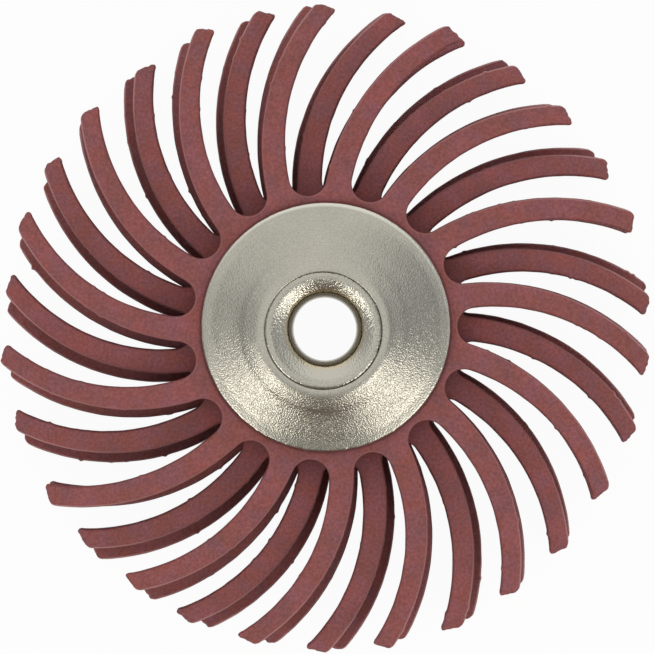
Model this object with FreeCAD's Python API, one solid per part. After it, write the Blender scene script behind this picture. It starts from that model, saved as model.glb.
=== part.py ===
import FreeCAD, Part

import os
from math import acos, atan2, cos, pi, sin, sqrt

from FreeCAD import Vector

# Radial bristle brush for a small rotary tool.
# Millimetres. The axis is +Z, and the brush lies on the flat rear flange of its hub at z = 0.

# Bristle discs: four moulded discs of the same outline, turned against each other.
DISC_COUNT = 4
BRISTLES = 15
DISC_T = 1.20
TIP_R = 12.88
# Angle of the first bristle's root on each disc, from the front disc to the rear one.
DISC_TURN = (13.15, 0.80, 14.50, 3.05)

# One bristle: its centreline leaves the root circle radially and bends clockwise on an arc.
BEND_START_R = 4.84
BEND_R = 7.93
BRISTLE_W_ROOT = 1.02
BRISTLE_W_TIP = 0.82
# Round bottom of the slot between two bristles.
SLOT_R = 0.738

# Hub tube with its rear flange.
BORE_R = 1.25
TUBE_WALL = 0.40
FLANGE_R = 4.90
FLANGE_T = 0.50
BORE_CHAMFER = 0.12
RIM_BEVEL = 0.08

# Front washer: pressed sheet with a raised cone and a sunk seat for the rolled lip.
WASHER_R = 4.90
SHEET_T = 0.45
BAND_R = 4.20
CONE_RISE = 0.80
CREST_R = 2.72
SEAT_R = 2.36
SEAT_DEPTH = 0.34

# Lip of the tube, rolled outward into the seat of the washer.
LIP_R = 2.28
LIP_PROUD = 0.04
LIP_LAND_R = 1.90
FUNNEL_R = 1.50
FUNNEL_DROP = 0.20
FUNNEL_BULGE = 0.04
LIP_EDGE = 0.08
THROAT_DROP = 0.95

# Radial clearances of the parts that are threaded on the tube.
DISC_CLEAR = 0.20
WASHER_CLEAR = 0.13

TUBE_R = BORE_R + TUBE_WALL
STACK_TOP = FLANGE_T + DISC_COUNT * DISC_T
CREST_Z = STACK_TOP + SHEET_T + CONE_RISE
SEAT_Z = CREST_Z - SEAT_DEPTH
LIP_Z = CREST_Z + LIP_PROUD


def turned(point, angle):
    return Vector(
        point.x * cos(angle) - point.y * sin(angle),
        point.x * sin(angle) + point.y * cos(angle),
        0,
    )


def tip_turn(side):
    """Angle along the bend at which a flank of the bristle meets the tip circle."""
    distance = sqrt(BEND_START_R**2 + BEND_R**2)
    radius = BEND_R + side * BRISTLE_W_TIP / 2
    cosine = (distance**2 + radius**2 - TIP_R**2) / (2 * distance * radius)
    return acos(cosine) - atan2(BEND_START_R, BEND_R)


def flank_point(side, share):
    """Point on a flank of the bristle on +X; side -1 is the hollow flank, +1 the bulging one."""
    turn = share * tip_turn(side)
    width = BRISTLE_W_ROOT + (BRISTLE_W_TIP - BRISTLE_W_ROOT) * share
    radius = BEND_R + side * width / 2
    return Vector(BEND_START_R + radius * sin(turn), radius * cos(turn) - BEND_R, 0)


def flank_circle(side):
    """Centre and radius of the circle that a flank follows."""
    arc = Part.Arc(flank_point(side, 0), flank_point(side, 0.5), flank_point(side, 1))
    circle = arc.toShape().Curve
    return circle.Center, circle.Radius


def nearest(circle, point):
    """Point of the circle that lies nearest to the given point."""
    centre, radius = circle
    return centre + (point - centre).normalize() * radius


def slot_centre(bulge, hollow):
    """Centre of the slot's round bottom, which touches the two flanks beside it."""
    c1, r1 = bulge[0], bulge[1] + SLOT_R
    c2, r2 = hollow[0], hollow[1] - SLOT_R
    apart = (c2 - c1).Length
    along = (apart**2 + r1**2 - r2**2) / (2 * apart)
    across = sqrt(r1**2 - along**2)
    unit = (c2 - c1) / apart
    foot = c1 + unit * along
    normal = Vector(-unit.y, unit.x, 0)
    return min(foot + normal * across, foot - normal * across, key=lambda p: p.Length)


def bristle_outline():
    """Edges of the bristle on +X: hollow flank, cut tip, bulging flank and the slot after it."""
    pitch = 2 * pi / BRISTLES
    bulge = flank_circle(1)
    hollow = flank_circle(-1)
    next_hollow = (turned(hollow[0], pitch), hollow[1])
    slot = slot_centre(bulge, next_hollow)
    slot_start = nearest(bulge, slot)
    slot_end = nearest(next_hollow, slot)
    slot_floor = slot - Vector(slot).normalize() * SLOT_R
    hollow_tip = flank_point(-1, 1)
    bulge_tip = flank_point(1, 1)
    return [
        Part.Arc(turned(slot_end, -pitch), nearest(hollow, flank_point(-1, 0.6)), hollow_tip),
        Part.LineSegment(hollow_tip, bulge_tip),
        Part.Arc(bulge_tip, nearest(bulge, flank_point(1, 0.6)), slot_start),
        Part.Arc(slot_start, slot_floor, slot_end),
    ]


def disc_outline():
    """Closed outline of one disc, bristle after bristle."""
    edges = []
    for index in range(BRISTLES):
        for curve in bristle_outline():
            edge = curve.toShape()
            edge.rotate(Vector(0, 0, 0), Vector(0, 0, 1), index * 360 / BRISTLES)
            edges.append(edge)
    return Part.Wire(Part.__sortEdges__(edges))


def bristle_disc(number):
    solid = Part.Face(disc_outline()).extrude(Vector(0, 0, DISC_T))
    solid = solid.cut(Part.makeCylinder(TUBE_R + DISC_CLEAR, DISC_T))
    solid.rotate(Vector(0, 0, 0), Vector(0, 0, 1), DISC_TURN[number - 1])
    solid.translate(Vector(0, 0, STACK_TOP - number * DISC_T))
    return solid


def rz(radius, height):
    return Vector(radius, 0, height)


def revolved(edges):
    return Part.Face(Part.Wire(edges)).revolve(Vector(0, 0, 0), Vector(0, 0, 1), 360)


def path(points):
    """Straight edges through the points of a half section."""
    return [Part.makeLine(a, b) for a, b in zip(points, points[1:])]


def eyelet():
    """Tube, rear flange and rolled front lip, one formed piece."""
    return revolved(path([
        rz(LIP_LAND_R, LIP_Z),
        rz((LIP_LAND_R + FUNNEL_R) / 2 - FUNNEL_BULGE, LIP_Z - FUNNEL_DROP / 2 + FUNNEL_BULGE),
        rz(FUNNEL_R, LIP_Z - FUNNEL_DROP),
        rz(BORE_R, LIP_Z - THROAT_DROP),
        rz(BORE_R, BORE_CHAMFER),
        rz(BORE_R + BORE_CHAMFER, 0),
        rz(FLANGE_R - RIM_BEVEL, 0),
        rz(FLANGE_R, RIM_BEVEL),
        rz(FLANGE_R, FLANGE_T),
        rz(TUBE_R, FLANGE_T),
        rz(TUBE_R, SEAT_Z),
        rz(LIP_R - LIP_EDGE, SEAT_Z),
        rz(LIP_R, SEAT_Z + LIP_EDGE),
        rz(LIP_R, LIP_Z - LIP_EDGE),
        rz(LIP_R - LIP_EDGE, LIP_Z),
        rz(LIP_LAND_R, LIP_Z),
    ]))


def front_washer():
    """Pressed sheet: flat outer band, cone up to the crest, sunk seat around the tube."""
    base = STACK_TOP
    hole = TUBE_R + WASHER_CLEAR
    under_crest = CREST_Z - SHEET_T
    under_seat = SEAT_Z - SHEET_T
    return revolved(path([
        rz(hole, SEAT_Z),
        rz(hole, under_seat),
        rz(SEAT_R + 0.22, under_seat),
        rz(CREST_R - 0.08, under_crest),
        rz(BAND_R - 0.10, base),
        rz(WASHER_R, base),
        rz(WASHER_R, base + SHEET_T - RIM_BEVEL),
        rz(WASHER_R - RIM_BEVEL, base + SHEET_T),
        rz(BAND_R, base + SHEET_T),
        rz(CREST_R, CREST_Z),
        rz(SEAT_R, CREST_Z),
        rz(SEAT_R, SEAT_Z),
        rz(hole, SEAT_Z),
    ]))


def save(shape, node):
    shape.exportStep("parts/" + node + ".step")


os.makedirs("parts", exist_ok=True)
save(eyelet(), "eyelet")
save(front_washer(), "front_washer")
for disc_number in range(1, DISC_COUNT + 1):
    save(bristle_disc(disc_number), "bristle_disc_" + str(disc_number))
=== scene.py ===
import math
import random

import bmesh
import bpy
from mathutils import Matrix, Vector, noise


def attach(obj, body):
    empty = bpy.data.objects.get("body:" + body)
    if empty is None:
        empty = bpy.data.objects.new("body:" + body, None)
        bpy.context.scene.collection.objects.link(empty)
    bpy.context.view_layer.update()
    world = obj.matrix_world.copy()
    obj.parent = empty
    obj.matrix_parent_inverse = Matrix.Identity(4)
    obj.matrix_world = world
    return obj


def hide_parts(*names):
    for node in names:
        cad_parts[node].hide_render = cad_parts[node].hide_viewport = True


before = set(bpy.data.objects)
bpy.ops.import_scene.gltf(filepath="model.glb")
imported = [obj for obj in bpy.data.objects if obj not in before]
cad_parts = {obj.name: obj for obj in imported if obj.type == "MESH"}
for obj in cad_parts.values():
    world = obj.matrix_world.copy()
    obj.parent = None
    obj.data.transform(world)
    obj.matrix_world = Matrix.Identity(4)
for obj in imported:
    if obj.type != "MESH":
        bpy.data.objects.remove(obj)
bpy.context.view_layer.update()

MM = 0.001

# Sizes in millimetres, as in the part's source, apart from the tips, which wore shorter and narrower.
DISCS = 4
BRISTLES = 15
DISC_T = 1.20
DISC_BORE_R = 1.85
TIP_R = 12.74
# The cut end slants: the bulging flank ends further out than the hollow one by twice this.
TIP_SKEW = 0.13
# Worn off each corner of the cut end.
HOLLOW_CORNER = 0.20
BULGE_CORNER = 0.25
# The bristle leaves the root circle radially and bends on an arc.
BEND_START_R = 4.84
BEND_R = 7.93
BRISTLE_W_ROOT = 1.02
BRISTLE_W_TIP = 0.77
SLOT_R = 0.738
DISC_TURN = (13.15, 0.80, 14.50, 3.05)
FLANGE_T = 0.50
STACK_TOP = FLANGE_T + DISCS * DISC_T
CREST_Z = STACK_TOP + 1.25

# The brush has lain on one side: degrees of lean at the tip, most at one bristle and opposite to it.
LEAN_MOST = 0.6
LEAN_AT = 2.2
# Bristles of each disc that strayed from the rest in use: degrees at the tip, in halves.
STRAY_BRISTLES = (
    {1: 1.5, 2: -0.5, 3: 0.5, 5: -1.5, 7: -0.5, 9: 2.5, 11: -0.5},
    {1: -0.5, 2: 0.5, 3: -0.5, 6: -0.5, 8: -0.5, 9: 0.5, 10: 0.5, 11: -0.5, 13: 1.0},
    {1: 1.0, 3: -1.0, 4: 1.5, 10: 1.0, 14: -1.0},
    {0: -0.5, 1: -0.5, 2: 1.0, 4: -1.0, 10: 1.0, 12: 0.5, 13: 0.5, 14: -1.0},
)
# Bristles of each disc that wore shorter than the rest, or less so where negative: millimetres.
WORN_BRISTLES = (
    {1: -0.1, 9: -0.1, 10: 0.15, 11: 0.1, 14: 0.05},
    {0: -0.15, 2: -0.05, 4: 0.1, 6: 0.15, 9: -0.1, 13: -0.2, 14: -0.1},
    {2: 0.2, 5: 0.25, 6: 0.25, 7: 0.2, 8: 0.25, 10: 0.1, 11: 0.15, 12: 0.15},
    {5: 0.2, 6: 0.2, 7: 0.25, 8: 0.15, 10: -0.1, 13: -0.1},
)
# Each disc sits a little off the tube's axis, within the play of its bore.
DISC_OFFSET = ((0.00, 0.06), (0.015, -0.015), (0.015, -0.09), (0.045, -0.105))
# The tips were dressed round about this point.
DRESSED_ROUND = (0.043, 0.029)
# The second and the fourth disc came a little fuller out of the mould.
DISC_FULLNESS = (0.0, 0.008, 0.0, 0.008)


def turned(point, angle):
    c, s = math.cos(angle), math.sin(angle)
    return (point[0] * c - point[1] * s, point[0] * s + point[1] * c)


def tip_turn(side):
    """Angle along the bend at which a flank meets the tip circle."""
    distance = math.hypot(BEND_START_R, BEND_R)
    radius = BEND_R + side * BRISTLE_W_TIP / 2
    tip = TIP_R + side * TIP_SKEW
    cosine = (distance**2 + radius**2 - tip**2) / (2 * distance * radius)
    return math.acos(cosine) - math.atan2(BEND_START_R, BEND_R)


def flank_point(side, share):
    """Point on a flank of the bristle on +X; -1 is the hollow flank, +1 the bulging one."""
    turn = share * tip_turn(side)
    width = BRISTLE_W_ROOT + (BRISTLE_W_TIP - BRISTLE_W_ROOT) * share
    radius = BEND_R + side * width / 2
    return (BEND_START_R + radius * math.sin(turn), radius * math.cos(turn) - BEND_R)


# The slot's centre is searched along the start of both flanks, as shares of their length.
SEARCH_SHARES = [step / 2000 for step in range(400)]
FAR_FLANK_STRIDE = 4
TANGENT_REACH = 0.001


def slot_circle():
    """Centre of the round slot bottom after the bristle on +X, and where it meets the flanks."""
    pitch = 2 * math.pi / BRISTLES
    best = None
    for share in SEARCH_SHARES:
        bulge = flank_point(1, share)
        ahead = flank_point(1, share + TANGENT_REACH)
        length = math.hypot(ahead[0] - bulge[0], ahead[1] - bulge[1])
        across = (-(ahead[1] - bulge[1]) / length, (ahead[0] - bulge[0]) / length)
        centre = (bulge[0] + across[0] * SLOT_R, bulge[1] + across[1] * SLOT_R)
        near = min(
            (math.dist(turned(flank_point(-1, other), pitch), centre), other)
            for other in SEARCH_SHARES[::FAR_FLANK_STRIDE]
        )
        miss = abs(near[0] - SLOT_R)
        if best is None or miss < best[0]:
            best = (miss, centre, share, near[1])
    return best[1:]


def corner_curve(a, corner, b, steps):
    """Small curve from a to b that rounds the corner between them."""
    points = []
    for step in range(steps + 1):
        k = step / steps
        points.append(tuple(
            p * (1 - k) ** 2 + q * 2 * k * (1 - k) + r * k**2 for p, q, r in zip(a, corner, b)
        ))
    return points


def toward(a, b, reach):
    """Point at the given distance from a on the way to b."""
    share = reach / math.dist(a, b)
    return (a[0] + (b[0] - a[0]) * share, a[1] + (b[1] - a[1]) * share)


# Steps of the outline: each tip corner, the cut end, each flank and half a slot bottom.
CORNER_STEPS = 7
CUT_STEPS = 6
FLANK_STEPS = 66
SLOT_STEPS = 10
# Share of the flank from which a tip corner takes its direction.
NEAR_TIP = 0.9


def tip_outline():
    """Cut end of the bristle with its two worn corners, from the hollow flank to the bulging one."""
    hollow, bulge = flank_point(-1, 1), flank_point(1, 1)
    first = toward(hollow, flank_point(-1, NEAR_TIP), HOLLOW_CORNER)
    last = toward(bulge, flank_point(1, NEAR_TIP), BULGE_CORNER)
    cut_from = toward(hollow, bulge, HOLLOW_CORNER)
    cut_to = toward(bulge, hollow, BULGE_CORNER)
    points = corner_curve(first, hollow, cut_from, CORNER_STEPS)
    for step in range(1, CUT_STEPS):
        points.append(toward(cut_from, cut_to, math.dist(cut_from, cut_to) * step / CUT_STEPS))
    points += corner_curve(cut_to, bulge, last, CORNER_STEPS)
    span = (bulge[0] - hollow[0], bulge[1] - hollow[1])
    outline = []
    for x, y in points:
        across = (x - hollow[0]) * span[0] + (y - hollow[1]) * span[1]
        share = across / math.hypot(*span) ** 2
        outline.append((x, y, 1, 2 * min(1, max(0, share)) - 1))
    return outline


def angle_from(centre, point):
    return math.atan2(point[1] - centre[1], point[0] - centre[0])


def on_slot(centre, angle):
    """Point of the round slot bottom at an angle seen from its centre."""
    return (centre[0] + SLOT_R * math.cos(angle), centre[1] + SLOT_R * math.sin(angle))


def slot_arc(centre, start, end, flank):
    """Points of the round slot bottom from one angle to another, the last one left out."""
    sweep = -((start - end) % (2 * math.pi))
    angles = [start + sweep * step / SLOT_STEPS for step in range(SLOT_STEPS)]
    return [(*on_slot(centre, angle), 0, flank) for angle in angles]


def sector_outline():
    """Outline of one bristle with half a slot bottom on each side.

    Each entry is (x, y, along, flank): the share of the bristle's length, and -1 to 1 across it.
    """
    centre, bulge_from, hollow_from = slot_circle()
    before = turned(centre, -2 * math.pi / BRISTLES)
    hollow_stop = 1 - HOLLOW_CORNER / ((BEND_R - BRISTLE_W_TIP / 2) * tip_turn(-1))
    bulge_stop = 1 - BULGE_CORNER / ((BEND_R + BRISTLE_W_TIP / 2) * tip_turn(1))
    floor_before = angle_from(before, (0, 0))
    outline = slot_arc(before, floor_before, angle_from(before, flank_point(-1, hollow_from)), -1)
    for step in range(FLANK_STEPS):
        share = hollow_from + (hollow_stop - hollow_from) * step / FLANK_STEPS
        outline.append((*flank_point(-1, share), share, -1))
    outline += tip_outline()
    for step in range(1, FLANK_STEPS + 1):
        share = bulge_stop + (bulge_from - bulge_stop) * step / FLANK_STEPS
        outline.append((*flank_point(1, share), share, 1))
    floor_after = angle_from(centre, (0, 0))
    closing = slot_arc(centre, angle_from(centre, flank_point(1, bulge_from)), floor_after, 1)
    outline += closing[1:]
    outline.append((*on_slot(centre, floor_after), 0, 1))
    return outline


def outward_normals(outline):
    """Unit normals pointing out of the bristle, square to the outline."""
    normals = []
    last = len(outline) - 1
    for i, here in enumerate(outline):
        if i in (0, last):
            length = math.hypot(here[0], here[1])
            normals.append((here[0] / length, here[1] / length))
            continue
        a, b = outline[i - 1], outline[i + 1]
        dx, dy = b[0] - a[0], b[1] - a[1]
        length = math.hypot(dx, dy)
        normals.append((dy / length, -dx / length))
    return normals


# Side wall from the middle of the thickness up: (share of half the thickness, inset in mm).
WALL = (
    (0.0, 0.0), (0.45, 0.008), (0.80, 0.016), (0.90, 0.030), (0.965, 0.056), (1.0, 0.092), (1.0, 0.118),
)
# At the tip corners the inset shrinks by these shares, and less so up to this distance from them.
HOLLOW_EASE = 0.75
BULGE_EASE = 0.60
EASE_REACH = 0.4
# The rim, worn glossier and painted paler as a highlight: its span as shares of half the thickness, and
# its weight at the root and more at the tip.
RIM_FROM = 0.86
RIM_TO = 0.99
RIM_PALE = 0.35
RIM_PALE_GAIN = 0.6
BORE_STEPS = 6


def sector_mesh():
    """One bristle and its share of the web as an open strip of disc, ready to be repeated."""
    outline = sector_outline()
    normals = outward_normals(outline)
    corners = ((flank_point(-1, 1), HOLLOW_EASE), (flank_point(1, 1), BULGE_EASE))
    grip = []
    for point in outline:
        eased = (
            ease * max(0.0, 1 - math.dist(point[:2], corner) / EASE_REACH) for corner, ease in corners
        )
        grip.append(1 - max(eased))
    rings = [(-share, inset) for share, inset in reversed(WALL)] + list(WALL[1:])
    mesh = bmesh.new()
    along_layer = mesh.verts.layers.float.new("along")
    flank_layer = mesh.verts.layers.float.new("flank")
    rim_layer = mesh.verts.layers.float.new("rim")
    half = DISC_T / 2
    columns = []
    for height, inset in rings:
        column = []
        for (x, y, along, flank), (nx, ny), hold in zip(outline, normals, grip):
            x, y = x - nx * inset * hold, y - ny * inset * hold
            vert = mesh.verts.new((x * MM, y * MM, height * half * MM))
            vert[along_layer] = along
            vert[flank_layer] = flank
            # The rim weight makes the edge glossier and paints a highlight on it.
            on_rim = RIM_FROM < abs(height) < RIM_TO and (flank > 0.9 or along < 0.01)
            vert[rim_layer] = RIM_PALE + RIM_PALE_GAIN * along if on_rim else 0.0
            column.append(vert)
        columns.append(column)
    for lower, upper in zip(columns, columns[1:]):
        for i in range(len(outline) - 1):
            mesh.faces.new((lower[i], lower[i + 1], upper[i + 1], upper[i]))
    first = math.atan2(outline[0][1], outline[0][0])
    pitch = 2 * math.pi / BRISTLES
    bore = {}
    for height in (-1.0, 1.0):
        bore[height] = []
        for step in range(BORE_STEPS + 1):
            angle = first + pitch * step / BORE_STEPS
            x, y = DISC_BORE_R * math.cos(angle), DISC_BORE_R * math.sin(angle)
            bore[height].append(mesh.verts.new((x * MM, y * MM, height * half * MM)))
    for i in range(BORE_STEPS):
        mesh.faces.new((bore[-1.0][i + 1], bore[-1.0][i], bore[1.0][i], bore[1.0][i + 1]))
    mesh.faces.new(columns[-1] + bore[1.0][::-1])
    mesh.faces.new(columns[0][::-1] + bore[-1.0])
    bmesh.ops.triangulate(mesh, faces=[f for f in mesh.faces if len(f.verts) > 4])
    data = bpy.data.meshes.new("bristle sector")
    mesh.to_mesh(data)
    mesh.free()
    return data


# Neighbouring sectors join within this distance, in metres.
MERGE_GAP = 2e-6
# Waviness of the flanks: cycles in a metre and octaves, and how fast it grows from the root.
WAVE_SCALE = 1500.0
WAVE_DETAIL = 2.0
WAVE_GROWTH = 4.0


def disc_tree(material):
    """Repeats the sector round the axis, numbers the bristles and closes the disc."""
    tree = bpy.data.node_groups.new("Bristle disc", "GeometryNodeTree")
    face = tree.interface
    face.new_socket("Geometry", in_out="INPUT", socket_type="NodeSocketGeometry")
    for name, kind, value in (
        ("Bristle count", "NodeSocketInt", BRISTLES),
        ("First root angle", "NodeSocketFloat", 0.0),
        ("Set spread", "NodeSocketFloat", 0.0),
        ("Flank waviness", "NodeSocketFloat", 0.0),
        ("Seed", "NodeSocketInt", 1),
    ):
        face.new_socket(name, in_out="INPUT", socket_type=kind).default_value = value
    face.new_socket("Geometry", in_out="OUTPUT", socket_type="NodeSocketGeometry")
    nodes, links = tree.nodes, tree.links
    given = nodes.new("NodeGroupInput")
    out = nodes.new("NodeGroupOutput")

    def math_node(kind, a, b):
        node = nodes.new("ShaderNodeMath")
        node.operation = kind
        for socket, value in zip(node.inputs, (a, b)):
            if isinstance(value, (int, float)):
                socket.default_value = value
            else:
                links.new(value, socket)
        return node.outputs[0]

    points = nodes.new("GeometryNodePoints")
    links.new(given.outputs["Bristle count"], points.inputs["Count"])
    index = nodes.new("GeometryNodeInputIndex").outputs[0]
    step = math_node("DIVIDE", 2 * math.pi, given.outputs["Bristle count"])
    angle = math_node("ADD", math_node("MULTIPLY", index, step), given.outputs["First root angle"])
    turn = nodes.new("ShaderNodeCombineXYZ")
    links.new(angle, turn.inputs["Z"])
    repeat = nodes.new("GeometryNodeInstanceOnPoints")
    links.new(points.outputs[0], repeat.inputs["Points"])
    links.new(given.outputs["Geometry"], repeat.inputs["Instance"])
    links.new(turn.outputs[0], repeat.inputs["Rotation"])
    number = nodes.new("GeometryNodeStoreNamedAttribute")
    number.data_type = "INT"
    number.domain = "INSTANCE"
    number.inputs["Name"].default_value = "bristle"
    links.new(repeat.outputs[0], number.inputs["Geometry"])
    links.new(index, number.inputs["Value"])
    spread = nodes.new("FunctionNodeRandomValue")
    spread.data_type = "FLOAT"
    low, high = [s for s in spread.inputs if s.type == "VALUE" and s.enabled][:2]
    links.new(math_node("MULTIPLY", given.outputs["Set spread"], -1.0), low)
    links.new(given.outputs["Set spread"], high)
    links.new(given.outputs["Seed"], spread.inputs["Seed"])
    lean = nodes.new("GeometryNodeStoreNamedAttribute")
    lean.data_type = "FLOAT"
    lean.domain = "INSTANCE"
    lean.inputs["Name"].default_value = "lean"
    links.new(number.outputs[0], lean.inputs["Geometry"])
    links.new([s for s in spread.outputs if s.type == "VALUE" and s.enabled][0], lean.inputs["Value"])
    real = nodes.new("GeometryNodeRealizeInstances")
    links.new(lean.outputs[0], real.inputs[0])
    merge = nodes.new("GeometryNodeMergeByDistance")
    merge.inputs["Distance"].default_value = MERGE_GAP
    links.new(real.outputs[0], merge.inputs["Geometry"])
    place = nodes.new("GeometryNodeInputPosition").outputs[0]
    grain = nodes.new("ShaderNodeTexNoise")
    grain.noise_dimensions = "4D"
    grain.inputs["Scale"].default_value = WAVE_SCALE
    grain.inputs["Detail"].default_value = WAVE_DETAIL
    links.new(place, grain.inputs["Vector"])
    links.new(given.outputs["Seed"], grain.inputs["W"])
    centred = nodes.new("ShaderNodeVectorMath")
    centred.operation = "SUBTRACT"
    links.new(grain.outputs["Color"], centred.inputs[0])
    centred.inputs[1].default_value = (0.5, 0.5, 0.5)
    flat = nodes.new("ShaderNodeVectorMath")
    flat.operation = "MULTIPLY"
    links.new(centred.outputs[0], flat.inputs[0])
    flat.inputs[1].default_value = (1.0, 1.0, 0.0)
    amount = nodes.new("ShaderNodeVectorMath")
    amount.operation = "SCALE"
    links.new(flat.outputs[0], amount.inputs[0])
    named = nodes.new("GeometryNodeInputNamedAttribute")
    named.data_type = "FLOAT"
    named.inputs["Name"].default_value = "along"
    free = math_node("MINIMUM", math_node("MULTIPLY", named.outputs[0], WAVE_GROWTH), 1.0)
    links.new(math_node("MULTIPLY", free, given.outputs["Flank waviness"]), amount.inputs["Scale"])
    wavy = nodes.new("GeometryNodeSetPosition")
    links.new(merge.outputs[0], wavy.inputs["Geometry"])
    links.new(amount.outputs[0], wavy.inputs["Offset"])
    finish = nodes.new("GeometryNodeSetMaterial")
    finish.inputs["Material"].default_value = material
    links.new(wavy.outputs[0], finish.inputs["Geometry"])
    links.new(finish.outputs[0], out.inputs[0])
    return tree


# Random lean of a bristle in degrees, waviness of its flanks in mm, and first seed of the discs.
SET_SPREAD = 0.2
FLANK_WAVINESS = 0.04
DISC_SEED = 11


def grown_disc(tree, sector, number):
    """Runs the disc tree for one disc and returns its plain mesh."""
    source = bpy.data.objects.new("disc source", sector)
    bpy.context.collection.objects.link(source)
    modifier = source.modifiers.new("disc", "NODES")
    modifier.node_group = tree
    values = {
        "First root angle": math.radians(DISC_TURN[number]),
        "Set spread": SET_SPREAD,
        "Flank waviness": FLANK_WAVINESS * MM,
        "Seed": DISC_SEED + number,
    }
    for item in tree.interface.items_tree:
        if item.item_type == "SOCKET" and item.in_out == "INPUT" and item.name in values:
            modifier[item.identifier] = values[item.name]
    graph = bpy.context.evaluated_depsgraph_get()
    mesh = bpy.data.meshes.new_from_object(
        source.evaluated_get(graph), preserve_all_data_layers=True, depsgraph=graph
    )
    source.modifiers.remove(modifier)
    bpy.data.objects.remove(source)
    return mesh


def smooth(value):
    value = min(1.0, max(0.0, value))
    return value * value * (3 - 2 * value)


# Ranges of the seeded wear: millimetres off a tip, and its slant from flank to flank.
SHORTENING = (-0.05, 0.07)
SLANT = (-0.12, 0.10)
# Specks of flash on a bristle: how many, place and width as shares of its length, height in mm.
SPECK_COUNT = (1, 5)
SPECK_PLACE = (0.15, 0.95)
SPECK_HEIGHT = (0.02, 0.07)
SPECK_WIDTH = (0.004, 0.010)
WEAR_SEED = 40


def bristle_wear(seed):
    """Seeded wear of each bristle: shortening and slant of the tip, and specks of mould flash."""
    rng = random.Random(seed)
    wear = []
    for _ in range(BRISTLES):
        specks = []
        for _ in range(rng.randint(*SPECK_COUNT)):
            at, side = rng.uniform(*SPECK_PLACE), rng.choice((-1, 1))
            specks.append((at, side, rng.uniform(*SPECK_HEIGHT), rng.uniform(*SPECK_WIDTH)))
        wear.append((rng.uniform(*SHORTENING), rng.uniform(*SLANT), specks, rng.uniform(0, 50)))
    return wear


def about(point, centre, angle):
    x, y = turned((point[0] - centre[0], point[1] - centre[1]), angle)
    return x + centre[0], y + centre[1]


# The tip wears from this share of the length on. Its cut end is ragged by up to this much in mm,
# which varies this fast from flank to flank and through the thickness.
WORN_FROM = 0.84
RAGGED = 0.05
RAGGED_ACROSS = 3.1
RAGGED_HEIGHT = 1.5
# Cosine of the angle between a bristle's end and the radius.
END_COSINE = 0.72
# The lean grows with the distance from the axis: from this radius on, and over this length.
LEAN_FROM_R = 6.0
LEAN_SPAN = 6.2
LEAN_POWER = 1.5


def shape_bristles(mesh, number):
    """Sets the bristles, wears their tips and adds the specks of flash left by the mould."""
    bristle = mesh.attributes["bristle"].data
    lean = mesh.attributes["lean"].data
    along = mesh.attributes["along"].data
    flank = mesh.attributes["flank"].data
    wear = bristle_wear(WEAR_SEED + number)
    pitch = 2 * math.pi / BRISTLES
    base = math.radians(DISC_TURN[number])
    dx, dy = DISC_OFFSET[number]
    off_x, off_y = dx - DRESSED_ROUND[0], dy - DRESSED_ROUND[1]
    tip_at = angle_from((0, 0), flank_point(0, 1))
    for vert in mesh.vertices:
        i = vert.index
        share, side, which = along[i].value, flank[i].value, bristle[i].value
        x, y, z = (value / MM for value in vert.co)
        if share > 0.02:
            shorten, slant, specks, phase = wear[which]
            turn = base + which * pitch - share * tip_turn(1)
            outward = side * DISC_FULLNESS[number] * smooth(share * 4)
            for at, on, height, width in specks:
                if side * on > 0.9 and abs(share - at) < 3 * width:
                    bump = height * math.exp(-(((share - at) / width) ** 2))
                    outward += side * bump * (0.35 + 0.65 * smooth(0.5 + z / DISC_T))
            x, y = x - outward * math.sin(turn), y + outward * math.cos(turn)
            worn = smooth((share - WORN_FROM) / (1 - WORN_FROM))
            if worn > 0:
                ragged = RAGGED * noise.noise(Vector((side * RAGGED_ACROSS, z * RAGGED_HEIGHT, phase)))
                azimuth = base + which * pitch + tip_at
                shorten += WORN_BRISTLES[number].get(which, 0.0)
                off = off_x * math.cos(azimuth) + off_y * math.sin(azimuth)
                slide = worn * (off / END_COSINE + shorten + 0.5 * slant * side + ragged)
                bend = turned((BEND_START_R, -BEND_R), base + which * pitch)
                x, y = about((x, y), bend, slide / BEND_R)
            grown = max(0.0, math.hypot(x, y) - LEAN_FROM_R) / LEAN_SPAN
            trend = LEAN_MOST * math.cos((which - LEAN_AT) * pitch)
            angle = math.radians(trend + STRAY_BRISTLES[number].get(which, 0.0) + lean[i].value)
            x, y = turned((x, y), angle * grown**LEAN_POWER)
        z += STACK_TOP - (number + 0.5) * DISC_T
        vert.co = ((x + dx) * MM, (y + dy) * MM, z * MM)


def bristle_discs(material):
    """Makes the discs, each from one run of the tree with its own turn, wear and place."""
    sector = sector_mesh()
    tree = disc_tree(material)
    for number in range(DISCS):
        mesh = grown_disc(tree, sector, number)
        shape_bristles(mesh, number)
        shell = bmesh.new()
        shell.from_mesh(mesh)
        bmesh.ops.recalc_face_normals(shell, faces=shell.faces)
        shell.to_mesh(mesh)
        shell.free()
        mesh.shade_smooth()
        name = "moulded_disc_" + str(number + 1)
        piece = bpy.data.objects.new(name, mesh)
        bpy.context.collection.objects.link(piece)
        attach(piece, "root")
        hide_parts("bristle_disc_" + str(number + 1))


# Steps round the axis of a turned piece.
RING_STEPS = 480


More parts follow.
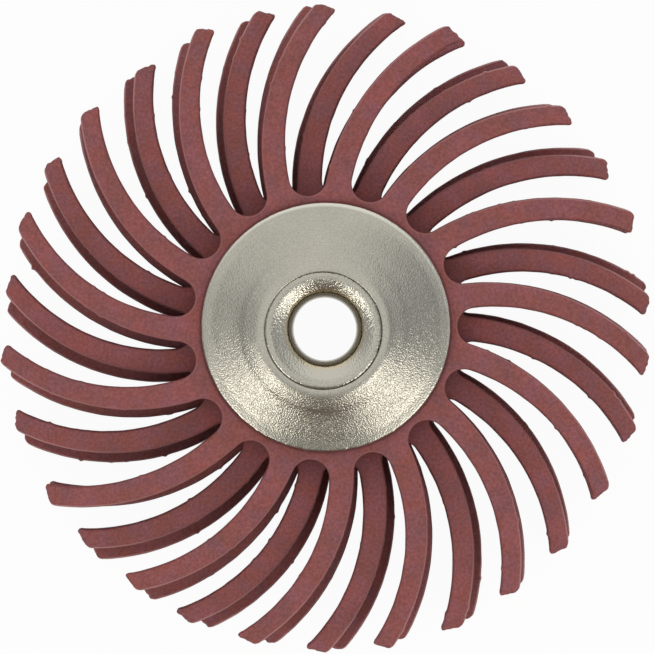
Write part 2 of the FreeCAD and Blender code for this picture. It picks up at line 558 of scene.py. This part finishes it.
def spun(name, profile, material, drift):
    """Closed ring turned round the axis from a closed half section of (radius, height) in mm.

    drift gives the shift in x and y and the growth in radius at an angle and a profile point.
    """
    mesh = bmesh.new()
    rings = []
    for step in range(RING_STEPS):
        angle = 2 * math.pi * step / RING_STEPS
        ring = []
        for r, z in profile:
            dx, dy, dr = drift(angle, r, z)
            x, y = (r + dr) * math.cos(angle) + dx, (r + dr) * math.sin(angle) + dy
            ring.append(mesh.verts.new((x * MM, y * MM, z * MM)))
        rings.append(ring)
    for step in range(RING_STEPS):
        here, there = rings[step], rings[(step + 1) % RING_STEPS]
        for i in range(len(profile)):
            j = (i + 1) % len(profile)
            mesh.faces.new((here[i], there[i], there[j], here[j]))
    bmesh.ops.recalc_face_normals(mesh, faces=mesh.faces)
    data = bpy.data.meshes.new(name)
    mesh.to_mesh(data)
    mesh.free()
    data.shade_smooth()
    data.materials.append(material)
    piece = bpy.data.objects.new(name, data)
    bpy.context.collection.objects.link(piece)
    return piece


def rounded(corners, steps):
    """Half section with each (radius, height, rounding) corner replaced by a small curve."""
    points = []
    for i, (r, z, size) in enumerate(corners):
        here = (r, z)
        before, after = corners[i - 1][:2], corners[(i + 1) % len(corners)][:2]
        reach = min(size, math.dist(here, before) * 0.49, math.dist(here, after) * 0.49)
        a, b = toward(here, before, reach), toward(here, after, reach)
        points += corner_curve(a, here, b, steps)
    return points


# Steps between two stations of a smooth half section.
FAIR_STEPS = 6


def faired(stations):
    """Smooth half section through stations of (radius, height, heading in degrees)."""
    points = []
    for (r0, z0, h0), (r1, z1, h1) in zip(stations, stations[1:]):
        chord = math.hypot(r1 - r0, z1 - z0)
        leave, arrive = math.radians(h0), math.radians(h1)
        for step in range(FAIR_STEPS):
            k = step / FAIR_STEPS
            a, b = 2 * k**3 - 3 * k**2 + 1, 3 * k**2 - 2 * k**3
            c, d = (k**3 - 2 * k**2 + k) * chord, (k**3 - k**2) * chord
            points.append((
                a * r0 + b * r1 + c * math.cos(leave) + d * math.cos(arrive),
                a * z0 + b * z1 + c * math.sin(leave) + d * math.sin(arrive),
            ))
    return points + [stations[-1][:2]]


# The washer sits a little off the axis, and the lip was rolled a little to the other side.
WASHER_OFFSET = (0.035, 0.083)
LIP_OFFSET = (-0.06, -0.067)
# Angles in degrees at which the punch left a burr on the washer's rim.
BURRS = (236, 241, 252, 261, 279, 291, 303)
# Height and width of a burr in mm and degrees, and height of the rim's fine unevenness.
BURR_HEIGHT = 0.022
BURR_WIDTH = 0.7
RIM_UNEVEN = 0.010
RIM_FINENESS = 14
# Unevenness of the lip's edge, and how much wider the lip was rolled towards one side.
LIP_UNEVEN = 0.022
LIP_FINENESS = 30
LIP_WIDER = 0.008
LIP_WIDER_TURN = 0.9


def noise_round(angle, fineness, seed):
    """Noise that closes on itself round the axis."""
    return noise.noise(Vector((math.cos(angle) * fineness, math.sin(angle) * fineness, seed)))


def washer_drift(angle, r, z):
    """Shift off the axis, with the lip at the seat and by its own measure further out, and burrs."""
    burr = 0.0
    if r > 4.78 and z > STACK_TOP + 0.2:
        for at in BURRS:
            apart = (math.degrees(angle) - at) / BURR_WIDTH
            burr += BURR_HEIGHT * math.exp(-apart * apart)
        burr += RIM_UNEVEN * noise_round(angle, RIM_FINENESS, 3.0)
    share = smooth((r - 2.6) / 1.2)
    dx, dy = (a + (b - a) * share for a, b in zip(LIP_OFFSET, WASHER_OFFSET))
    return (dx, dy, burr)


def lip_drift(angle, r, z):
    """Shift of the rolled lip off the axis, and the unevenness of its edge."""
    share = smooth((r - 1.40) / 0.5) if z > CREST_Z - 0.8 and r < 2.5 else 0.0
    edge = 0.0
    if 2.2 < r < 2.4 and z > CREST_Z - 0.2:
        edge = LIP_UNEVEN * noise_round(angle, LIP_FINENESS, 8.0)
        edge += LIP_WIDER * math.sin(angle - LIP_WIDER_TURN)
    return (LIP_OFFSET[0] * share, LIP_OFFSET[1] * share, edge)


def front_washer(material):
    """Pressed washer: rim, low outer band, dome with a steeper shoulder, crest and sunk seat."""
    base, top = STACK_TOP, CREST_Z
    profile = rounded([
        (1.80, top - 0.34, 0.03),
        (1.80, top - 0.79, 0.03),
        (2.58, top - 0.79, 0.15),
        (2.66, top - 0.45, 0.15),
        (4.08, base + 0.004, 0.30),
        (4.84, base + 0.004, 0.05),
    ], steps=4) + faired([
        (4.885, base + 0.06, 80),
        (4.902, base + 0.25, 90),
        (4.872, base + 0.371, 135),
        (4.80, base + 0.404, 163),
        (4.52, base + 0.484, 163),
        (4.34, base + 0.549, 159),
        (3.45, base + 0.884, 159),
        (3.22, base + 0.984, 154),
        (3.06, base + 1.052, 159),
        (2.70, base + 1.188, 159.5),
        (2.45, base + 1.247, 176),
        (2.345, base + 1.248, 183),
        (2.300, base + 1.205, 270),
    ]) + [(2.300, top - 0.32), (2.28, top - 0.34)]
    piece = spun("domed_washer", profile, material, washer_drift)
    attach(piece, "root")
    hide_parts("front_washer")


def eyelet(material):
    """Tube with its rear flange and the lip rolled over the washer's seat."""
    top = CREST_Z + 0.035
    seat = CREST_Z - 0.335
    profile = rounded([
        (1.25, 0.12, 0.03),
        (1.37, 0.0, 0.03),
        (4.86, 0.0, 0.05),
        (4.90, 0.10, 0.06),
        (4.90, 0.42, 0.08),
        (4.82, 0.498, 0.06),
        (1.65, 0.498, 0.05),
        (1.65, seat, 0.05),
        (2.20, seat, 0.06),
    ], steps=6) + faired([
        (2.282, seat + 0.06, 75),
        (2.301, top - 0.105, 92),
        (2.262, top - 0.026, 145),
        (2.14, top, 180),
        (1.96, top - 0.039, 202),
        (1.62, top - 0.194, 205),
        (1.48, top - 0.295, 230),
        (1.40, top - 0.452, 248),
        (1.25, top - 1.0, 266),
    ])
    piece = spun("rolled_eyelet", profile, material, lip_drift)
    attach(piece, "root")
    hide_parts("eyelet")


def noise_node(nodes, links, place, scale, detail, rough=0.5):
    node = nodes.new("ShaderNodeTexNoise")
    node.inputs["Scale"].default_value = scale
    node.inputs["Detail"].default_value = detail
    node.inputs["Roughness"].default_value = rough
    links.new(place, node.inputs["Vector"])
    return node.outputs["Fac"]


def ramp(nodes, links, factor, stops):
    node = nodes.new("ShaderNodeValToRGB")
    elements = node.color_ramp.elements
    while len(elements) < len(stops):
        elements.new(0.5)
    for element, (position, colour) in zip(elements, stops):
        element.position = position
        element.color = (*colour, 1.0)
    links.new(factor, node.inputs["Fac"])
    return node.outputs["Color"]


def mixed(nodes, links, kind, factor, a, b):
    node = nodes.new("ShaderNodeMix")
    node.data_type = "RGBA"
    node.blend_type = kind
    sockets = {s.identifier: s for s in node.inputs}
    if isinstance(factor, float):
        sockets["Factor_Float"].default_value = factor
    else:
        links.new(factor, sockets["Factor_Float"])
    for key, value in (("A_Color", a), ("B_Color", b)):
        if isinstance(value, tuple):
            sockets[key].default_value = (*value, 1.0)
        else:
            links.new(value, sockets[key])
    return [s for s in node.outputs if s.identifier == "Result_Color"][0]


def bumped(nodes, links, height, distance, strength, normal=None):
    """Normal bumped by a height, over a distance in mm."""
    node = nodes.new("ShaderNodeBump")
    if isinstance(strength, float):
        node.inputs["Strength"].default_value = strength
    else:
        links.new(strength, node.inputs["Strength"])
    node.inputs["Distance"].default_value = distance * MM
    links.new(height, node.inputs["Height"])
    if normal is not None:
        links.new(normal, node.inputs["Normal"])
    return node.outputs[0]


def from_axis(nodes, links, place):
    """Distance of a place from the brush's axis."""
    flat = nodes.new("ShaderNodeVectorMath")
    flat.operation = "MULTIPLY"
    links.new(place, flat.inputs[0])
    flat.inputs[1].default_value = (1.0, 1.0, 0.0)
    length = nodes.new("ShaderNodeVectorMath")
    length.operation = "LENGTH"
    links.new(flat.outputs[0], length.inputs[0])
    return length.outputs["Value"]


# Bands round the axis are told apart up to this radius in mm.
BAND_REACH = 6.0


def band(nodes, links, radius, stops):
    """Weight that follows the distance from the axis, from stops of (millimetres, weight)."""
    scaled = nodes.new("ShaderNodeMath")
    scaled.operation = "MULTIPLY"
    links.new(radius, scaled.inputs[0])
    scaled.inputs[1].default_value = 1.0 / (BAND_REACH * MM)
    return ramp(nodes, links, scaled.outputs[0], [(at / BAND_REACH, (level,) * 3) for at, level in stops])


PLAIN = (1.0, 1.0, 1.0)
# Paler colour of the rounded edges: a painted highlight.
RIM_PAINTED_HIGHLIGHT = (0.43, 0.20, 0.19)
# Colour of the painted shade round the washer's edge.
PAINTED_SHADE_AT_WASHER_EDGE = (0.09, 0.020, 0.018)
MOULDED_ROUGHNESS = 0.70
WORN_ROUGHNESS = 0.42


def abrasive_elastomer():
    """Matt maroon elastomer, clouded brown and purple, with fine grain, a glossier worn edge painted
    paler as a highlight, and painted shade round the washer's edge.
    """
    material = bpy.data.materials.new("Abrasive elastomer")
    material.use_nodes = True
    nodes, links = material.node_tree.nodes, material.node_tree.links
    shader = nodes["Principled BSDF"]
    place = nodes.new("ShaderNodeTexCoord").outputs["Object"]
    cloud = noise_node(nodes, links, place, scale=900.0, detail=3.0)
    hue = noise_node(nodes, links, place, scale=1200.0, detail=3.0, rough=0.6)
    fine = noise_node(nodes, links, place, scale=9000.0, detail=2.0, rough=0.6)
    base = ramp(nodes, links, cloud, (
        (0.30, (0.223, 0.074, 0.071)), (0.50, (0.252, 0.077, 0.075)), (0.70, (0.284, 0.084, 0.086)),
    ))
    tint = ramp(nodes, links, hue, (
        (0.35, (1.04, 0.95, 0.84)), (0.50, PLAIN), (0.65, (0.96, 1.04, 1.20)),
    ))
    colour = mixed(nodes, links, "MULTIPLY", 1.0, base, tint)
    speck = ramp(nodes, links, fine, (
        (0.30, (0.80, 0.79, 0.79)), (0.50, PLAIN), (0.70, (1.20, 1.27, 1.28)),
    ))
    colour = mixed(nodes, links, "MULTIPLY", 1.0, colour, speck)
    rim = nodes.new("ShaderNodeAttribute")
    rim.attribute_name = "rim"
    # Paler rounded edges: a painted highlight, mixed in by the rim weight.
    colour = mixed(nodes, links, "MIX", rim.outputs["Fac"], colour, RIM_PAINTED_HIGHLIGHT)
    # Painted shade: a dark ring on the front disc just outside the washer's edge, centred on the washer.
    centred = nodes.new("ShaderNodeVectorMath")
    centred.operation = "SUBTRACT"
    links.new(place, centred.inputs[0])
    centred.inputs[1].default_value = (WASHER_OFFSET[0] * MM, WASHER_OFFSET[1] * MM, 0.0)
    washer_edge_shade = band(nodes, links, from_axis(nodes, links, centred.outputs[0]), (
        (4.84, 0.0), (4.88, 0.62), (4.93, 0.62), (5.02, 0.0),
    ))
    colour = mixed(nodes, links, "MIX", washer_edge_shade, colour, PAINTED_SHADE_AT_WASHER_EDGE)
    links.new(colour, shader.inputs["Base Color"])
    gloss = nodes.new("ShaderNodeMapRange")
    gloss.inputs["To Min"].default_value = MOULDED_ROUGHNESS
    gloss.inputs["To Max"].default_value = WORN_ROUGHNESS
    links.new(rim.outputs["Fac"], gloss.inputs["Value"])
    links.new(gloss.outputs[0], shader.inputs["Roughness"])
    shader.inputs["Specular IOR Level"].default_value = 0.35
    normal = bumped(nodes, links, fine, distance=0.01, strength=0.5)
    normal = bumped(nodes, links, cloud, distance=0.03, strength=0.3, normal=normal)
    links.new(normal, shader.inputs["Normal"])
    return material


ROLLED_METAL = (0.51, 0.49, 0.42)
TARNISH = (0.58, 0.51, 0.37)
WALL_METAL = (0.47, 0.44, 0.38)
# Paler colour of the rim: bare worn metal and a painted highlight along the edge.
BARE_RIM_AND_HIGHLIGHT = (0.66, 0.64, 0.56)
NICKEL_ROUGHNESS = (0.21, 0.28)


def satin_nickel():
    """Plated metal with a warm satin finish: crinkled grain, pitted lip, tarnished throat, and a bare rim
    painted paler also as a highlight.
    """
    material = bpy.data.materials.new("Satin nickel")
    material.use_nodes = True
    nodes, links = material.node_tree.nodes, material.node_tree.links
    shader = nodes["Principled BSDF"]
    place = nodes.new("ShaderNodeTexCoord").outputs["Object"]
    radius = from_axis(nodes, links, place)
    crinkle = noise_node(nodes, links, place, scale=17000.0, detail=1.0)
    cloud = noise_node(nodes, links, place, scale=500.0, detail=3.0)
    speck = noise_node(nodes, links, place, scale=19000.0, detail=1.0)
    colour = ramp(nodes, links, cloud, ((0.35, (0.405, 0.388, 0.332)), (0.65, (0.445, 0.425, 0.362))))
    fleck = ramp(nodes, links, speck, ((0.30, (0.88, 0.88, 0.87)), (0.70, (1.12, 1.12, 1.13))))
    colour = mixed(nodes, links, "MULTIPLY", 1.0, colour, fleck)
    rolled = band(nodes, links, radius, ((1.52, 0.0), (1.64, 1.0), (1.92, 1.0), (2.08, 0.0)))
    colour = mixed(nodes, links, "MIX", rolled, colour, ROLLED_METAL)
    throat = band(nodes, links, radius, ((1.36, 0.0), (1.42, 1.0), (1.52, 1.0), (1.66, 0.0)))
    colour = mixed(nodes, links, "MIX", throat, colour, TARNISH)
    wall = band(nodes, links, radius, ((1.30, 1.0), (1.40, 0.0)))
    colour = mixed(nodes, links, "MIX", wall, colour, WALL_METAL)
    # The rim is paler: bare metal worn there, and a painted highlight along the edge.
    bare_rim_and_highlight = band(nodes, links, radius, ((4.80, 0.0), (4.88, 1.0)))
    colour = mixed(nodes, links, "MIX", bare_rim_and_highlight, colour, BARE_RIM_AND_HIGHLIGHT)
    links.new(colour, shader.inputs["Base Color"])
    shader.inputs["Metallic"].default_value = 1.0
    rough = nodes.new("ShaderNodeMapRange")
    rough.inputs["To Min"].default_value = NICKEL_ROUGHNESS[0]
    rough.inputs["To Max"].default_value = NICKEL_ROUGHNESS[1]
    links.new(cloud, rough.inputs["Value"])
    links.new(rough.outputs[0], shader.inputs["Roughness"])
    dent = noise_node(nodes, links, place, scale=1500.0, detail=2.0)
    normal = bumped(nodes, links, dent, distance=0.014, strength=0.4)
    coarse = band(nodes, links, radius, (
        (1.40, 0.24), (2.60, 0.24), (2.80, 0.58), (4.30, 0.58), (4.55, 0.33),
    ))
    normal = bumped(nodes, links, crinkle, distance=0.03, strength=coarse, normal=normal)
    pitting = noise_node(nodes, links, place, scale=12500.0, detail=1.0)
    pitted = band(nodes, links, radius, (
        (1.44, 0.0), (1.58, 1.0), (2.10, 1.0), (2.22, 0.25), (2.34, 0.0),
    ))
    normal = bumped(nodes, links, pitting, distance=0.022, strength=pitted, normal=normal)
    links.new(normal, shader.inputs["Normal"])
    return material


# Half the floor's side in metres, how far it lies under the brush in mm, and its tone.
FLOOR_HALF = 0.6
FLOOR_DROP = 0.01
FLOOR_GREY = 0.80
# Share of plain white in what the eye and reflections see of the floor.
WHITE_SHARE = 0.95


def white_floor():
    """Pale floor that shows white to the eye and in reflections, and keeps a soft shadow."""
    mesh = bmesh.new()
    corners = []
    for x, y in ((-1, -1), (1, -1), (1, 1), (-1, 1)):
        corners.append(mesh.verts.new((x * FLOOR_HALF, y * FLOOR_HALF, -FLOOR_DROP * MM)))
    mesh.faces.new(corners)
    data = bpy.data.meshes.new("floor")
    mesh.to_mesh(data)
    mesh.free()
    floor = bpy.data.objects.new("floor", data)
    bpy.context.collection.objects.link(floor)
    material = bpy.data.materials.new("Studio floor")
    material.use_nodes = True
    nodes, links = material.node_tree.nodes, material.node_tree.links
    nodes.clear()
    out = nodes.new("ShaderNodeOutputMaterial")
    diffuse = nodes.new("ShaderNodeBsdfDiffuse")
    diffuse.inputs["Color"].default_value = (FLOOR_GREY, FLOOR_GREY, FLOOR_GREY, 1.0)
    white = nodes.new("ShaderNodeEmission")
    white.inputs["Color"].default_value = (1.0, 1.0, 1.0, 1.0)
    white.inputs["Strength"].default_value = 1.0
    light = nodes.new("ShaderNodeLightPath")
    seen = light.outputs["Is Camera Ray"]
    for ray in ("Is Glossy Ray", "Is Transmission Ray"):
        most = nodes.new("ShaderNodeMath")
        most.operation = "MAXIMUM"
        links.new(seen, most.inputs[0])
        links.new(light.outputs[ray], most.inputs[1])
        seen = most.outputs[0]
    share = nodes.new("ShaderNodeMath")
    share.operation = "MULTIPLY"
    links.new(seen, share.inputs[0])
    share.inputs[1].default_value = WHITE_SHARE
    mix = nodes.new("ShaderNodeMixShader")
    links.new(share.outputs[0], mix.inputs[0])
    links.new(diffuse.outputs[0], mix.inputs[1])
    links.new(white.outputs[0], mix.inputs[2])
    links.new(mix.outputs[0], out.inputs[0])
    data.materials.append(material)


def graded(nodes, links, value, stops):
    """Colour that follows one axis of the sky, from stops of (position, colour)."""
    shifted = nodes.new("ShaderNodeMapRange")
    shifted.inputs["From Min"].default_value = -1.0
    shifted.inputs["From Max"].default_value = 1.0
    links.new(value, shifted.inputs["Value"])
    return ramp(nodes, links, shifted.outputs[0], [((at + 1) / 2, colour) for at, colour in stops])


# Tone of the sky from -1 to 1 along Y and along X.
SKY_DEPTH = (
    (-0.92, (0.20, 0.15, 0.12)),
    (-0.74, (0.22, 0.20, 0.175)),
    (-0.56, (0.30, 0.30, 0.29)),
    (-0.25, (0.80, 0.80, 0.79)),
    (-0.05, PLAIN),
    (0.90, PLAIN),
)
SKY_BREADTH = (
    (-0.90, (0.50, 0.51, 0.53)),
    (-0.77, (0.36, 0.37, 0.39)),
    (-0.67, (0.76, 0.76, 0.76)),
    (-0.45, PLAIN),
    (0.43, PLAIN),
    (0.58, (0.35, 0.36, 0.38)),
    (0.72, (0.35, 0.36, 0.38)),
    (0.84, (0.60, 0.61, 0.63)),
)
SKY_STRENGTH = 1.03


def studio_world():
    """Soft light all round from pale walls, dimmer on the near side and lightly on the flanks."""
    world = bpy.data.worlds.new("Studio")
    bpy.context.scene.world = world
    world.use_nodes = True
    nodes, links = world.node_tree.nodes, world.node_tree.links
    nodes.clear()
    out = nodes.new("ShaderNodeOutputWorld")
    soft = nodes.new("ShaderNodeBackground")
    place = nodes.new("ShaderNodeTexCoord").outputs["Generated"]
    split = nodes.new("ShaderNodeSeparateXYZ")
    links.new(place, split.inputs[0])
    depth = graded(nodes, links, split.outputs["Y"], SKY_DEPTH)
    breadth = graded(nodes, links, split.outputs["X"], SKY_BREADTH)
    links.new(mixed(nodes, links, "MULTIPLY", 1.0, depth, breadth), soft.inputs["Color"])
    soft.inputs["Strength"].default_value = SKY_STRENGTH
    links.new(soft.outputs[0], out.inputs[0])


LAMP_COLOUR = (1.0, 0.98, 0.94)
LAMP_DISTANCE = 0.5
LAMP_SIZE = 0.20


def lamp(name, azimuth, elevation, power):
    """Square lamp that faces the brush: angles in degrees, power in watts."""
    data = bpy.data.lights.new(name, "AREA")
    data.shape = "SQUARE"
    data.size = LAMP_SIZE
    data.energy = power
    data.color = LAMP_COLOUR
    obj = bpy.data.objects.new(name, data)
    a, e = math.radians(azimuth), math.radians(elevation)
    place = Vector((math.cos(a) * math.cos(e), math.sin(a) * math.cos(e), math.sin(e))) * LAMP_DISTANCE
    obj.location = place
    obj.rotation_euler = (-place).to_track_quat("-Z", "Y").to_euler()
    bpy.context.collection.objects.link(obj)


# The picture is this many pixels wide, and each millimetre of the brush takes this many.
PICTURE_WIDTH = 654
PIXELS_PER_MM = 25.4
SENSOR_WIDTH = 36.0
# Metres from the camera down to the front disc.
CAMERA_HEIGHT = 0.280
# The camera stands a little off the axis, in mm.
CAMERA_OFF = 0.084


def camera():
    """Straight above the brush, far off, framed as in the photograph."""
    data = bpy.data.cameras.new("camera")
    width = PICTURE_WIDTH / PIXELS_PER_MM * MM
    data.sensor_width = SENSOR_WIDTH
    data.lens = SENSOR_WIDTH * CAMERA_HEIGHT / width
    data.clip_start = 0.01
    data.clip_end = 10.0
    obj = bpy.data.objects.new("camera", data)
    obj.location = (CAMERA_OFF * MM, CAMERA_OFF * MM, STACK_TOP * MM + CAMERA_HEIGHT)
    bpy.context.collection.objects.link(obj)
    bpy.context.scene.camera = obj


elastomer = abrasive_elastomer()
nickel = satin_nickel()
bristle_discs(elastomer)
front_washer(nickel)
eyelet(nickel)
white_floor()
studio_world()
lamp("left lamp", azimuth=225, elevation=41, power=0.48)
lamp("right lamp", azimuth=314, elevation=42, power=0.50)
camera()
bpy.context.scene.view_settings.view_transform = "Standard"
